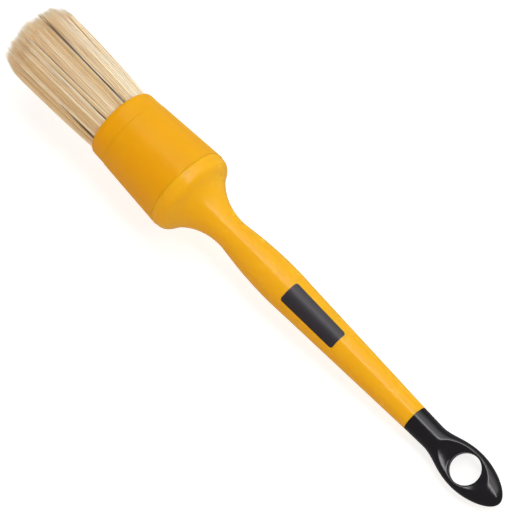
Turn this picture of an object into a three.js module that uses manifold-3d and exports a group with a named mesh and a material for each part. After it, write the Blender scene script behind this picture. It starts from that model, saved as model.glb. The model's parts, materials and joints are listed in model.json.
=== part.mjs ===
// A round bristle brush with a two-part ferrule, a slim handle and a hanging eye, lying at rest.
// Lengths are millimetres. Each piece is drawn in the brush's own frame: +X runs along the brush from the
// ferrule's mouth to the hanging eye, and +Z is the way that the eye faces. A station is a place along X,
// and a radius is a distance from X. At the end the brush is laid down, on its widest part and its eye.
import * as THREE from 'three';
import { mergeVertices } from 'three/addons/utils/BufferGeometryUtils.js';
import Module from 'manifold-3d';

const wasm = await Module();
wasm.setup();

// Facets round each turned piece, steps along each curve, and the room between pieces that touch.
const FACETS = 40;
const STEPS = 8;
const GAP = 0.25;

// How many times the search for the resting angle halves its range.
const DIP_HALVINGS = 30;

// The collar: a visible band at the mouth, and a thin spigot behind it that goes into the ferrule.
const COLLAR = { front: 15.9, rear: 16.2, end: 8, lip: 0.9, bore: 14.75, spigot: 15.3, spigotEnd: 14.25 };

// The ferrule: a sleeve that widens to the rear, where a cone inside leaves its rim thin.
const FERRULE = { start: 8.25, end: 38.2, front: 16.45, rear: 18.4, rim: 0.3 };
const FERRULE_BORE = { step: 14.5, front: 15.05, coneStart: 36.6, rear: 16.95 };

// The handle: each entry is [station, radius]. The pulls are the curves' own control points.
const SPIGOT_START = 28;
const SEAT = [38.5, 18.1];
const BEAD = [39, 18.4];
const BEAD_PULLS = [[42.7, 18.4], [43.5, 18.3]];
const SHOULDER = [45.5, 15.1];
const FLARE_PULLS = [[47.55, 11.82], [54.3, 6.38]];
const NECK = [64.6, 6.38];
const SWELL_PULLS = [[68, 6.38], [76.5, 8.36]];
const BELLY = [93, 8.36];
const TAPER_PULLS = [[96, 8.36], [100, 8.13]];
const TAPER = [105, 7.93];
const HANDLE_END = [168, 5.58];

// The end cap: its outline seen from +Z and from the side, as radii at shared stations. The first pair is
// the straight shank, and each further three entries are a curve's two control points and its end.
const CAP_STATIONS = [168.25, 178, 184, 187.5, 196.6, 204.5, 214.3, 214.3];
const CAP_HALF_WIDTHS = [5.57, 5.31, 5.31, 8.7, 8.7, 8.7, 4.6, 0];
const CAP_HALF_THICKNESSES = [5.57, 5.31, 5.31, 5.4, 5, 4.6, 3.2, 0];
const CAP_STEPS = 12;
const TENON = { end: 178, radius: 3.4 };

// The hanging eye: a round hole through a thin web, with a scoop down to the web from either face.
const EYE = { station: 195.9, radius: 6.35, halfWeb: 2.2 };
const SCOOP = { station: 194.8, height: 8.2, halfLength: 14.2, halfWidth: 10.6, halfDepth: 7.2 };

// The bristle bundle: a fixed root, and the tips, which sweep about a pivot inside the bundle.
const PIVOT = -16;
const DOME = 17;
const ROOT = { mouth: 14.5, outer: 15, end: 20, waist: 13.2 };
const TIPS = [[-20, 15.6], [-32, 16.05], [-43, 16.6]];
const TIP_CORNER = 15.1;
const TIP_PULLS = [[-49.5, 16.9], [-53.4, 14]];
const TIP_END = [-53.5, 0];

// Inside the ferrule: the band that ties the bundle, and the resin that holds it.
const BAND = { start: 9.25, end: 14.25 };
const RESIN = { start: 14.75, end: 27.7 };

// A solid of revolution about X, from an outline that starts and ends on X or closes on itself.
function turn(outline) {
  const points = outline.map(([station, radius]) => new THREE.Vector2(radius, station));
  return new THREE.LatheGeometry(points, FACETS, Math.PI / FACETS).rotateZ(-Math.PI / 2);
}

// Points on a cubic curve from start to end, drawn towards its two control points.
function curve(start, pulls, end, steps = STEPS) {
  const corners = [start, ...pulls, end].map(([station, radius]) => new THREE.Vector2(station, radius));
  return new THREE.CubicBezierCurve(...corners).getPoints(steps).map(({ x, y }) => [x, y]);
}

// Points on a sphere about the pivot, from the axis out to a radius.
function dome(sphere, outerRadius) {
  const widest = Math.asin(outerRadius / sphere);
  return Array.from({ length: STEPS + 1 }, (_, i) => {
    const angle = (widest * i) / STEPS;
    return [PIVOT + sphere * Math.cos(angle), sphere * Math.sin(angle)];
  });
}

// The radius of the ferrule's bore behind its step.
function boreAt(station) {
  const along = (station - FERRULE_BORE.step) / (FERRULE_BORE.coneStart - FERRULE_BORE.step);
  return FERRULE_BORE.front + along * (FERRULE_BORE.rear - FERRULE_BORE.front);
}

// A geometry as a solid that can be cut.
function solid(geometry) {
  const bare = geometry.clone().deleteAttribute('normal').deleteAttribute('uv');
  const merged = mergeVertices(bare, 1e-4);
  const vertProperties = merged.attributes.position.array;
  return new wasm.Manifold(new wasm.Mesh({ numProp: 3, vertProperties, triVerts: merged.index.array }));
}

// A cut solid as a geometry again.
function drawn(manifold) {
  const { vertProperties, triVerts } = manifold.getMesh();
  const geometry = new THREE.BufferGeometry();
  geometry.setAttribute('position', new THREE.BufferAttribute(vertProperties, 3));
  geometry.setIndex(new THREE.BufferAttribute(triVerts, 1));
  geometry.computeVertexNormals();
  return geometry;
}

function collar() {
  const { front, rear, end, lip, bore, spigot, spigotEnd } = COLLAR;
  return turn([
    [0, bore], [0, front - lip], [0.3 * lip, front - 0.3 * lip], [lip, front],
    [end, rear], [end, spigot], [spigotEnd, spigot], [spigotEnd, bore], [0, bore],
  ]);
}

function ferrule() {
  const { start, end, front, rear, rim } = FERRULE;
  const counterbore = COLLAR.spigot + GAP;
  return turn([
    [start, counterbore], [start, front], [end, rear], [end, rear - rim],
    [FERRULE_BORE.coneStart, FERRULE_BORE.rear], [FERRULE_BORE.step, FERRULE_BORE.front],
    [FERRULE_BORE.step, counterbore], [start, counterbore],
  ]);
}

// The handle's spigot follows the ferrule's bore, its seat follows the cone, and a tenon enters the cap.
function handle() {
  return turn([
    [SPIGOT_START, 0], [SPIGOT_START, boreAt(SPIGOT_START) - GAP],
    [FERRULE_BORE.coneStart, FERRULE_BORE.rear - GAP],
    SEAT,
    ...curve(BEAD, BEAD_PULLS, SHOULDER),
    ...curve(SHOULDER, FLARE_PULLS, NECK).slice(1),
    ...curve(NECK, SWELL_PULLS, BELLY).slice(1),
    ...curve(BELLY, TAPER_PULLS, TAPER, 3).slice(1),
    HANDLE_END, [HANDLE_END[0], TENON.radius], [TENON.end, TENON.radius], [TENON.end, 0],
  ]);
}

// The cap's outline for one set of radii, from the joint to the end.
function capOutline(radii) {
  const corners = CAP_STATIONS.map((station, i) => [station, radii[i]]);
  const flank = curve(corners[1], corners.slice(2, 4), corners[4], CAP_STEPS);
  const nose = curve(corners[4], corners.slice(5, 7), corners[7], CAP_STEPS).slice(1);
  return [corners[0], ...flank, ...nose];
}

// The cap before it is cut: turned to its width, then pressed flat ring by ring to its thickness.
function capBlank() {
  const widths = [[CAP_STATIONS[0], 0], ...capOutline(CAP_HALF_WIDTHS)];
  const thicknesses = [[CAP_STATIONS[0], 0], ...capOutline(CAP_HALF_THICKNESSES)];
  const blank = turn(widths);
  const places = blank.attributes.position;
  for (let i = 0; i < places.count; i += 1) {
    const ring = i % widths.length;
    const width = widths[ring][1];
    places.setZ(i, width > 0 ? (places.getZ(i) * thicknesses[ring][1]) / width : 0);
  }
  return blank;
}

// The tool that cuts one scoop: an ellipsoid above the web, flat where it meets the web.
function scoopTool() {
  const { station, height, halfLength, halfWidth, halfDepth } = SCOOP;
  const bowl = new THREE.SphereGeometry(1, FACETS, FACETS / 2).rotateX(Math.PI / 2);
  bowl.scale(halfLength, halfWidth, halfDepth).translate(station, 0, height);
  const above = new THREE.BoxGeometry(4 * halfLength, 4 * halfWidth, 4 * halfDepth);
  above.translate(station, 0, EYE.halfWeb + 2 * halfDepth);
  return solid(bowl).intersect(solid(above));
}

function endCap() {
  const socket = turn([
    [0, 0], [0, TENON.radius + GAP], [TENON.end + GAP, TENON.radius + GAP], [TENON.end + GAP, 0],
  ]);
  const drill = new THREE.CylinderGeometry(EYE.radius, EYE.radius, 40, FACETS, 1, false, Math.PI / FACETS);
  drill.rotateX(Math.PI / 2).translate(EYE.station, 0, 0);
  const scoop = scoopTool();
  const cut = solid(capBlank()).subtract(solid(socket)).subtract(scoop).subtract(scoop.rotate([180, 0, 0]));
  return drawn(cut.subtract(solid(drill)));
}

function bristleRoot() {
  const { mouth, outer, end, waist } = ROOT;
  return turn([
    ...dome(DOME + GAP, outer).reverse(), [end, 0], [end, waist],
    [BAND.start - GAP, waist], [BAND.start - GAP, mouth], [0, mouth], dome(DOME + GAP, outer).at(-1),
  ].reverse());
}

function bristleTips() {
  return turn([
    ...dome(DOME, TIP_CORNER), ...TIPS, ...curve(TIPS.at(-1), TIP_PULLS, TIP_END).slice(1),
  ].reverse());
}

function rootBand() {
  const inner = ROOT.waist + GAP;
  return turn([
    [BAND.start, inner], [BAND.start, ROOT.mouth], [BAND.end, ROOT.mouth], [BAND.end, inner],
    [BAND.start, inner],
  ]);
}

// A cup of resin: its wall grips the bundle's waist, and its floor closes the bundle off.
function resinPlug() {
  const inner = ROOT.waist + GAP;
  return turn([
    [ROOT.end + GAP, 0], [ROOT.end + GAP, inner], [RESIN.start, inner],
    [RESIN.start, boreAt(RESIN.start) - GAP], [RESIN.end, boreAt(RESIN.end) - GAP], [RESIN.end, 0],
  ]);
}

// How low the pieces reach when the eye's end dips by an angle.
function lowest(meshes, dip) {
  return Math.min(...meshes.map((mesh) => {
    const turned = mesh.geometry.clone().rotateY(dip);
    turned.computeBoundingBox();
    return turned.boundingBox.min.z;
  }));
}

// The dip at which the brush's widest part and its cap are equally low, so that both touch a flat surface.
function restDip(widest, cap) {
  let [small, large] = [0, Math.PI / 8];
  for (let i = 0; i < DIP_HALVINGS; i += 1) {
    const dip = (small + large) / 2;
    if (lowest(widest, dip) < lowest(cap, dip)) small = dip;
    else large = dip;
  }
  return small;
}

function piece(name, geometry, color, roughness) {
  const mesh = new THREE.Mesh(geometry, new THREE.MeshStandardMaterial({ color, roughness, metalness: 0 }));
  mesh.name = name;
  return mesh;
}

const sleeve = piece('ferrule', ferrule(), '#e8a409', 0.4);
const grip = piece('handle', handle(), '#efaa12', 0.35);
const cap = piece('end_cap', endCap(), '#2a272d', 0.25);
const brush = new THREE.Group();
brush.add(
  piece('ferrule_collar', collar(), '#e6a205', 0.4),
  sleeve,
  grip,
  cap,
  piece('bristle_root', bristleRoot(), '#c9a87c', 0.8),
  piece('bristle_tips', bristleTips(), '#e3c79a', 0.8),
  piece('root_band', rootBand(), '#4a4038', 0.7),
  piece('resin_plug', resinPlug(), '#b08a4e', 0.3),
);
brush.rotation.y = restDip([sleeve, grip], [cap]);

// The laid brush stands on z = 0 with its box centred over the origin.
const group = new THREE.Group();
group.add(brush);
const box = new THREE.Box3().setFromObject(brush, true);
brush.position.set(-(box.min.x + box.max.x) / 2, -(box.min.y + box.max.y) / 2, -box.min.z);

export default group;
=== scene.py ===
"""A round natural-bristle brush: a yellow two-part ferrule, a slim handle and a black cap with a hanging eye.

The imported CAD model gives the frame: where the brush lies, which way its axis runs and how its bristles
sweep. Each visible piece is rebuilt here at a finer scale, in the brush's own frame and in millimetres, and
is then carried into the CAD model's frame. In the brush's frame a station is a place along its axis,
counted from the ferrule's mouth towards the eye, side is across it, and up is the way that the eye faces.
"""
import json
import logging
import math
from dataclasses import dataclass, field, replace
from enum import Enum

import bpy
import numpy as np
from mathutils import Matrix, Vector


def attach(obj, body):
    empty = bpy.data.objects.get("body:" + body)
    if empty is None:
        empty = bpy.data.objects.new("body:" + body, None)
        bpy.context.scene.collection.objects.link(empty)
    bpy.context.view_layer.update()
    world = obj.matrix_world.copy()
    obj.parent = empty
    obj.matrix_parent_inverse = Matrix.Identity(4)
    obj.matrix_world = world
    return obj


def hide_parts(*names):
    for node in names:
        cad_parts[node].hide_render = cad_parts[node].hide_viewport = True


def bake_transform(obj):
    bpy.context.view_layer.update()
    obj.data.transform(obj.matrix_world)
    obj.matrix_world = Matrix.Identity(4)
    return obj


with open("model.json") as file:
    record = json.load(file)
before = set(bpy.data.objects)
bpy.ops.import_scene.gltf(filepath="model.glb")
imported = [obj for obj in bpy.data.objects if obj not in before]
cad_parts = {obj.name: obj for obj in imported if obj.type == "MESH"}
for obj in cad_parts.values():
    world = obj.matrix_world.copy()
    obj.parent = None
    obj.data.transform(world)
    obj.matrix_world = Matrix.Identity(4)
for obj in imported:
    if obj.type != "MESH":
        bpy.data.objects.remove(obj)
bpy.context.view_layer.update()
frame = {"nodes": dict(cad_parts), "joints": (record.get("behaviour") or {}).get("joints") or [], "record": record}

log = logging.getLogger("brush")

MM = 0.001


class Body(Enum):
    """The CAD bodies; the pieces ride on the handle's, and none on the bristles'."""

    HANDLE = "handle_assembly"
    BRISTLES = "free_bristles"


class Slot(Enum):
    """The record's material slots; no rebuilt piece is given one here."""

    HANDLE = "handle_yellow"
    FERRULE = "ferrule_yellow"
    CAP = "cap_black"
    BRISTLE = "bristle"


# ---------------------------------------------------------------------------------------------------------
# The brush's own frame
# ---------------------------------------------------------------------------------------------------------


@dataclass(frozen=True)
class BrushAxes:
    """The brush's own frame, as the CAD model places it."""

    origin: Vector
    along: Vector
    side: Vector
    up: Vector

    @classmethod
    def from_record(cls, record: dict, joint: dict, pivot_station: float) -> "BrushAxes":
        """Finds the brush's frame from its hinge and its mounts.

        Args:
            record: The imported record, whose two mounts lie on the axis's two sides at the eye.
            joint: The bristles' hinge, whose place is on the axis.
            pivot_station: The hinge's station in millimetres.
        Returns:
            The axes, with the origin at station 0.
        """
        pivot = Vector(joint["pos_m"])
        up = Vector(joint["axis"]).normalized()
        lands = [Vector(mount["pos_m"]) for mount in record["mounts"]]
        along = (sum(lands, Vector()) / len(lands) - pivot).normalized()
        side = up.cross(along)
        return cls(pivot - along * pivot_station * MM, along, side, up)

    @property
    def dip(self) -> float:
        """The angle by which the eye's end dips below the bristles' end, in radians."""
        return math.asin(-self.along.z)

    def at(self, station: float, side: float = 0.0, up: float = 0.0) -> Vector:
        """A place in the CAD model's frame, in metres, from its place on the brush in millimetres."""
        return self.origin + (self.along * station + self.side * side + self.up * up) * MM

    def carry(self, points: np.ndarray) -> np.ndarray:
        """Carries many points from the brush's frame into the CAD model's.

        Args:
            points: One row of station, side and up for each point, in millimetres.
        Returns:
            The same points in metres, in the CAD model's frame.
        """
        basis = np.array([self.along, self.side, self.up])
        return np.array(self.origin) + points @ basis * MM


# ---------------------------------------------------------------------------------------------------------
# Shapes
# ---------------------------------------------------------------------------------------------------------

# One cubic curve's start, two pulls and end, each as a station and a radius.
Curve = tuple[tuple[float, float], ...]

AXIS_CLEARANCE = 1e-6


@dataclass
class Shape:
    """A mesh in the brush's frame: its points in millimetres, and its faces as point numbers."""

    points: np.ndarray
    faces: list[list[int]]

    def outward(self) -> "Shape":
        """Turns the faces so that they look out of a closed shape.

        Returns:
            The shape itself.
        """
        corners = np.array([face[:3] for face in self.faces])
        a, b, c = (self.points[corners[:, i]] for i in range(3))
        weight = np.array([len(face) - 2 for face in self.faces])
        if np.sum(np.einsum("ij,ij->i", a, np.cross(b, c)) * weight) < 0:
            self.faces = [face[::-1] for face in self.faces]
        return self


def bezier(curve: Curve, steps: int) -> np.ndarray:
    """Points along a cubic curve.

    Args:
        curve: The curve's start, two pulls and end.
        steps: How many steps to take.
    Returns:
        One row of station and radius for each of steps + 1 points.
    """
    t = np.linspace(0, 1, steps + 1)[:, None]
    start, pull_out, pull_in, end = (np.array(p, float) for p in curve)
    return ((1 - t) ** 3 * start + 3 * t * (1 - t) ** 2 * pull_out
            + 3 * t**2 * (1 - t) * pull_in + t**3 * end)


def rounded(corners: list[tuple[float, float, float]], steps: int = 6) -> np.ndarray:
    """An outline with rounded corners.

    Args:
        corners: Each corner's station, radius, and how far from it its rounding starts (0 for a sharp one).
        steps: How many steps each rounding takes.
    Returns:
        One row of station and radius for each point of the outline.
    """
    places = [np.array(corner[:2], float) for corner in corners]
    points = []
    for i, (place, reach) in enumerate(zip(places, (corner[2] for corner in corners))):
        if reach <= 0:
            points.append(place)
            continue
        before, after = places[i - 1] - place, places[i + 1] - place
        start = place + before / np.linalg.norm(before) * reach
        end = place + after / np.linalg.norm(after) * reach
        for t in np.linspace(0, 1, steps + 1):
            points.append((1 - t) ** 2 * start + 2 * t * (1 - t) * place + t**2 * end)
    return np.array(points)


def dense(outline: np.ndarray, longest: float = 1.0) -> np.ndarray:
    """Divides an outline's long steps, so that the shading stays even.

    Args:
        outline: One row of station and radius for each point.
        longest: The longest step to leave, in millimetres.
    Returns:
        The outline with more points.
    """
    rows = [outline[:1]]
    for start, end in zip(outline[:-1], outline[1:]):
        parts = max(1, math.ceil(np.linalg.norm(end - start) / longest))
        t = np.arange(1, parts + 1)[:, None] / parts
        rows.append(start + (end - start) * t)
    return np.concatenate(rows)


def turned(outline: np.ndarray, facets: int = 192) -> Shape:
    """A solid of revolution about the brush's axis.

    Args:
        outline: Station and radius for each point, from the axis to the axis, or closed on itself.
        facets: How many facets go round it.
    Returns:
        The closed shape.
    """
    angles = np.arange(facets) * 2 * math.pi / facets
    circle = np.column_stack([np.zeros(facets), np.cos(angles), np.sin(angles)])
    rings, points, count = [], [], 0
    closed = np.allclose(outline[0], outline[-1])
    for station, radius in outline[:-1] if closed else outline:
        ring = circle * radius if radius > AXIS_CLEARANCE else np.zeros((1, 3))
        points.append(ring + [station, 0, 0])
        rings.append(np.arange(count, count + len(ring)))
        count += len(ring)
    if closed:
        rings.append(rings[0])
    faces = []
    for near, far in zip(rings[:-1], rings[1:]):
        columns = [near, np.roll(near, -1), np.roll(far, -1), far]
        if len(near) == 1:
            columns = [np.repeat(near, len(far)), columns[2], far]
        elif len(far) == 1:
            columns = [near, columns[1], np.repeat(far, len(near))]
        if len(near) > 1 or len(far) > 1:
            faces += np.column_stack(columns).tolist()
    return Shape(np.concatenate(points), faces).outward()


def smooth_max(a: np.ndarray, b: np.ndarray, reach: float) -> np.ndarray:
    """The larger of two values, with the crease between them rounded.

    Args:
        a: One set of values.
        b: The other.
        reach: How close the two come before the rounding starts.
    Returns:
        The rounded maximum.
    """
    overlap = np.maximum(reach - np.abs(a - b), 0) / reach
    return np.maximum(a, b) + overlap**2 * reach / 4


# ---------------------------------------------------------------------------------------------------------
# Finishes
# ---------------------------------------------------------------------------------------------------------


def linear(colour: str) -> tuple[float, float, float, float]:
    """Turns an sRGB hex colour into linear values.

    Args:
        colour: The colour as #RRGGBB.
    Returns:
        Red, green, blue and an alpha of 1.
    """
    shares = [int(colour[i:i + 2], 16) / 255 for i in (1, 3, 5)]
    red, green, blue = (s / 12.92 if s <= 0.04045 else ((s + 0.055) / 1.055) ** 2.4 for s in shares)
    return red, green, blue, 1.0


def add_node(tree: bpy.types.NodeTree, kind: str, settings: dict | None = None,
             inputs: dict | None = None) -> bpy.types.Node:
    """Adds a node with its settings and its links.

    Args:
        tree: The material's node tree.
        kind: The node's type.
        settings: Values of the node's own properties.
        inputs: For each socket, by name or number, a value or the output that is linked to it.
    Returns:
        The node.
    """
    node = tree.nodes.new(kind)
    for name, value in (settings or {}).items():
        setattr(node, name, value)
    for name, value in (inputs or {}).items():
        if isinstance(value, bpy.types.NodeSocket):
            tree.links.new(value, node.inputs[name])
        else:
            node.inputs[name].default_value = value
    return node


def pitch(millimetres: float) -> float:
    """The noise scale, in features per metre, whose features are this many millimetres across."""
    return 1 / (millimetres * MM)


@dataclass(frozen=True)
class Finish:
    """What all the finishes share: a name, a colour, and a plain dielectric surface."""

    name: str
    colour: str
    second_colour: str
    roughness: float
    ior: float

    def material(self) -> bpy.types.Material:
        """Makes the material, with its colours and relief from the finish's own pattern.

        Returns:
            The material.
        """
        material = bpy.data.materials.new(self.name)
        material.use_nodes = True
        tree = material.node_tree
        tree.nodes.clear()
        place = add_node(tree, "ShaderNodeTexCoord").outputs["Object"]
        inputs = {"Roughness": self.roughness, "IOR": self.ior} | self.surface(tree, place)
        shader = add_node(tree, "ShaderNodeBsdfPrincipled", inputs=inputs)
        add_node(tree, "ShaderNodeOutputMaterial", inputs={"Surface": shader.outputs["BSDF"]})
        return material

    def surface(self, tree: bpy.types.NodeTree, place: bpy.types.NodeSocket) -> dict:
        """The shader's inputs that this finish's own pattern drives.

        Args:
            tree: The material's node tree.
            place: The surface's coordinates, in metres.
        Returns:
            A value or an output for each of the shader's sockets that the finish sets.
        """
        raise NotImplementedError


@dataclass(frozen=True)
class MouldedPolypropylene(Finish):
    """Pigmented polypropylene, injection moulded in a polished or a spark-eroded tool.

    The eye sees an even, saturated yellow with a soft, slightly waxy highlight. Light goes a little way in,
    so the shaded side turns to orange. Close by, the pigment is faintly cloudy and the skin faintly uneven.
    The reflection is how much of a bare plastic's mirroring its waxy skin keeps, where 0.5 is all of it.
    """

    ior: float = 1.49
    cloud_mm: float = 9.0
    skin_mm: float = 0.8
    skin_depth_mm: float = 0.012
    roughness_swing: float = 0.05
    reflection: float = 0.22
    glow: float = 0.22
    glow_depth_mm: float = 2.6
    glow_reach: tuple[float, float, float] = (1.0, 0.42, 0.08)

    def surface(self, tree: bpy.types.NodeTree, place: bpy.types.NodeSocket) -> dict:
        """The cloudy pigment, the uneven skin and the light that goes in.

        Args:
            tree: The material's node tree.
            place: The surface's coordinates, in metres.
        Returns:
            The inputs for the colour, the roughness, the relief, the reflection and the light under the skin.
        """
        cloud = add_node(tree, "ShaderNodeTexNoise", inputs={
            "Vector": place, "Scale": pitch(self.cloud_mm), "Detail": 3.0, "Roughness": 0.55})
        colour = add_node(tree, "ShaderNodeMix", {"data_type": "RGBA"}, {
            "Factor": cloud.outputs["Fac"], 6: linear(self.colour), 7: linear(self.second_colour)})
        skin = add_node(tree, "ShaderNodeTexNoise", inputs={
            "Vector": place, "Scale": pitch(self.skin_mm), "Detail": 2.0})
        rough = add_node(tree, "ShaderNodeMapRange", inputs={
            "Value": cloud.outputs["Fac"], "From Min": 0.3, "From Max": 0.7,
            "To Min": self.roughness - self.roughness_swing, "To Max": self.roughness + self.roughness_swing})
        relief = add_node(tree, "ShaderNodeBump", inputs={
            "Height": skin.outputs["Fac"], "Distance": self.skin_depth_mm * MM, "Strength": 1.0})
        return {"Base Color": colour.outputs[2], "Roughness": rough.outputs["Result"],
                "Normal": relief.outputs["Normal"], "Specular IOR Level": self.reflection,
                "Subsurface Weight": self.glow, "Subsurface Radius": self.glow_reach,
                "Subsurface Scale": self.glow_depth_mm * MM}


@dataclass(frozen=True)
class GlossAbs(Finish):
    """Black ABS, injection moulded in a polished tool.

    The eye sees a deep black that takes its look from what it reflects, with clear but slightly soft
    highlights along its ridges, and faint rub marks where it has hung and been handled.
    """

    ior: float = 1.54
    rub_mm: float = 3.0
    roughness_swing: float = 0.05
    skin_mm: float = 1.2
    skin_depth_mm: float = 0.006

    def surface(self, tree: bpy.types.NodeTree, place: bpy.types.NodeSocket) -> dict:
        """The rub marks and the faintly uneven skin.

        Args:
            tree: The material's node tree.
            place: The surface's coordinates, in metres.
        Returns:
            The inputs for the colour, the roughness and the relief.
        """
        rub = add_node(tree, "ShaderNodeTexNoise", inputs={
            "Vector": place, "Scale": pitch(self.rub_mm), "Detail": 4.0, "Roughness": 0.6})
        colour = add_node(tree, "ShaderNodeMix", {"data_type": "RGBA"}, {
            "Factor": rub.outputs["Fac"], 6: linear(self.colour), 7: linear(self.second_colour)})
        rough = add_node(tree, "ShaderNodeMapRange", inputs={
            "Value": rub.outputs["Fac"], "From Min": 0.35, "From Max": 0.7,
            "To Min": self.roughness - self.roughness_swing, "To Max": self.roughness + self.roughness_swing})
        skin = add_node(tree, "ShaderNodeTexNoise", inputs={
            "Vector": place, "Scale": pitch(self.skin_mm), "Detail": 1.0})
        relief = add_node(tree, "ShaderNodeBump", inputs={
            "Height": skin.outputs["Fac"], "Distance": self.skin_depth_mm * MM, "Strength": 1.0})
        return {"Base Color": colour.outputs[2], "Roughness": rough.outputs["Result"],
                "Normal": relief.outputs["Normal"]}


@dataclass(frozen=True)
class HogBristle(Finish):
    """Natural hog bristle, washed, boiled straight and left undyed.

    The eye sees pale straw hairs with a soft shine; a painted glow makes them lighter towards the tips.
    A real hair's tone changes every few millimetres along it, and that is drawn as it is.

    The painted glow is an emission that stands in for light passing from hair to hair through the bundle: weak
    at the root, stronger at the tips. The tips are the two places, in metres along X, where they start and end.
    """

    ior: float = 1.55
    tone_length_mm: float = 9.0
    tone_width_mm: float = 0.5
    glow: float = 0.6
    glow_depth_mm: float = 0.5
    glow_reach: tuple[float, float, float] = (1.0, 0.75, 0.5)
    painted_glow: tuple[float, float] = (0.1, 0.26)
    painted_glow_colour: str = "#FFDCA8"
    tips: tuple[float, float] = (0.0, 1.0)
    dip: float = 0.0

    def surface(self, tree: bpy.types.NodeTree, place: bpy.types.NodeSocket) -> dict:
        """The tone that changes along each hair, the light inside it, and the painted glow.

        Args:
            tree: The material's node tree.
            place: The surface's coordinates, in metres.
        Returns:
            The inputs for the colour, the light inside a hair and the painted glow that stands in for light
            carried between hairs.
        """
        level = add_node(tree, "ShaderNodeVectorRotate", {"rotation_type": "Y_AXIS"}, {
            "Vector": place, "Angle": -self.dip})
        lengths = (pitch(self.tone_length_mm), pitch(self.tone_width_mm), pitch(self.tone_width_mm))
        stretched = add_node(tree, "ShaderNodeVectorMath", {"operation": "MULTIPLY"}, {
            0: level.outputs["Vector"], 1: lengths})
        tone = add_node(tree, "ShaderNodeTexNoise", inputs={
            "Vector": stretched.outputs["Vector"], "Scale": 1.0, "Detail": 2.0})
        share = add_node(tree, "ShaderNodeMapRange", inputs={
            "Value": tone.outputs["Fac"], "From Min": 0.3, "From Max": 0.7})
        colour = add_node(tree, "ShaderNodeMix", {"data_type": "RGBA"}, {
            "Factor": share.outputs["Result"], 6: linear(self.colour), 7: linear(self.second_colour)})
        along = add_node(tree, "ShaderNodeSeparateXYZ", inputs={"Vector": place})
        # Painted glow: the emission grows from the root towards the tips.
        light = add_node(tree, "ShaderNodeMapRange", {"interpolation_type": "SMOOTHSTEP"}, {
            "Value": along.outputs["X"], "From Min": self.tips[0], "From Max": self.tips[1],
            "To Min": self.painted_glow[0], "To Max": self.painted_glow[1]})
        return {"Base Color": colour.outputs[2], "Subsurface Weight": self.glow,
                "Subsurface Radius": self.glow_reach, "Subsurface Scale": self.glow_depth_mm * MM,
                "Emission Color": linear(self.painted_glow_colour), "Emission Strength": light.outputs["Result"]}


@dataclass(frozen=True)
class PrintedInk(Finish):
    """Black pad-printed ink on the moulded handle.

    The eye sees a flat, nearly black panel that is a little duller than the plastic round it, with the
    faint mottle of a pad print.
    """

    ior: float = 1.5
    mottle_mm: float = 0.7

    def surface(self, tree: bpy.types.NodeTree, place: bpy.types.NodeSocket) -> dict:
        """The mottle of the print.

        Args:
            tree: The material's node tree.
            place: The surface's coordinates, in metres.
        Returns:
            The input for the colour.
        """
        mottle = add_node(tree, "ShaderNodeTexNoise", inputs={
            "Vector": place, "Scale": pitch(self.mottle_mm), "Detail": 3.0})
        colour = add_node(tree, "ShaderNodeMix", {"data_type": "RGBA"}, {
            "Factor": mottle.outputs["Fac"], 6: linear(self.colour), 7: linear(self.second_colour)})
        return {"Base Color": colour.outputs[2]}


@dataclass(frozen=True)
class CastEpoxy(Finish):
    """Amber epoxy, poured round the bristles' roots and set.

    The eye, if the ferrule were cut open, sees a glossy honey-brown block with paler swirls.
    """

    ior: float = 1.55
    swirl_mm: float = 4.0

    def surface(self, tree: bpy.types.NodeTree, place: bpy.types.NodeSocket) -> dict:
        """The swirls in the pour.

        Args:
            tree: The material's node tree.
            place: The surface's coordinates, in metres.
        Returns:
            The input for the colour.
        """
        swirl = add_node(tree, "ShaderNodeTexNoise", inputs={
            "Vector": place, "Scale": pitch(self.swirl_mm), "Distortion": 1.5})
        colour = add_node(tree, "ShaderNodeMix", {"data_type": "RGBA"}, {
            "Factor": swirl.outputs["Fac"], 6: linear(self.colour), 7: linear(self.second_colour)})
        return {"Base Color": colour.outputs[2]}


@dataclass(frozen=True)
class RubberBand(Finish):
    """Dark natural rubber, cut from a tube.

    The eye, if the ferrule were cut open, sees a matt dark band with fine lines left by the knife.
    """

    ior: float = 1.52
    line_mm: float = 0.4
    # Blender's wave texture runs through this many radians in each unit of its coordinates.
    wave_rate: float = 20.0

    def surface(self, tree: bpy.types.NodeTree, place: bpy.types.NodeSocket) -> dict:
        """The knife's lines.

        Args:
            tree: The material's node tree.
            place: The surface's coordinates, in metres.
        Returns:
            The input for the colour.
        """
        lines = add_node(tree, "ShaderNodeTexWave", {"bands_direction": "X"}, {
            "Vector": place, "Scale": pitch(self.line_mm) / self.wave_rate, "Distortion": 1.0})
        colour = add_node(tree, "ShaderNodeMix", {"data_type": "RGBA"}, {
            "Factor": lines.outputs["Fac"], 6: linear(self.colour), 7: linear(self.second_colour)})
        return {"Base Color": colour.outputs[2]}


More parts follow.
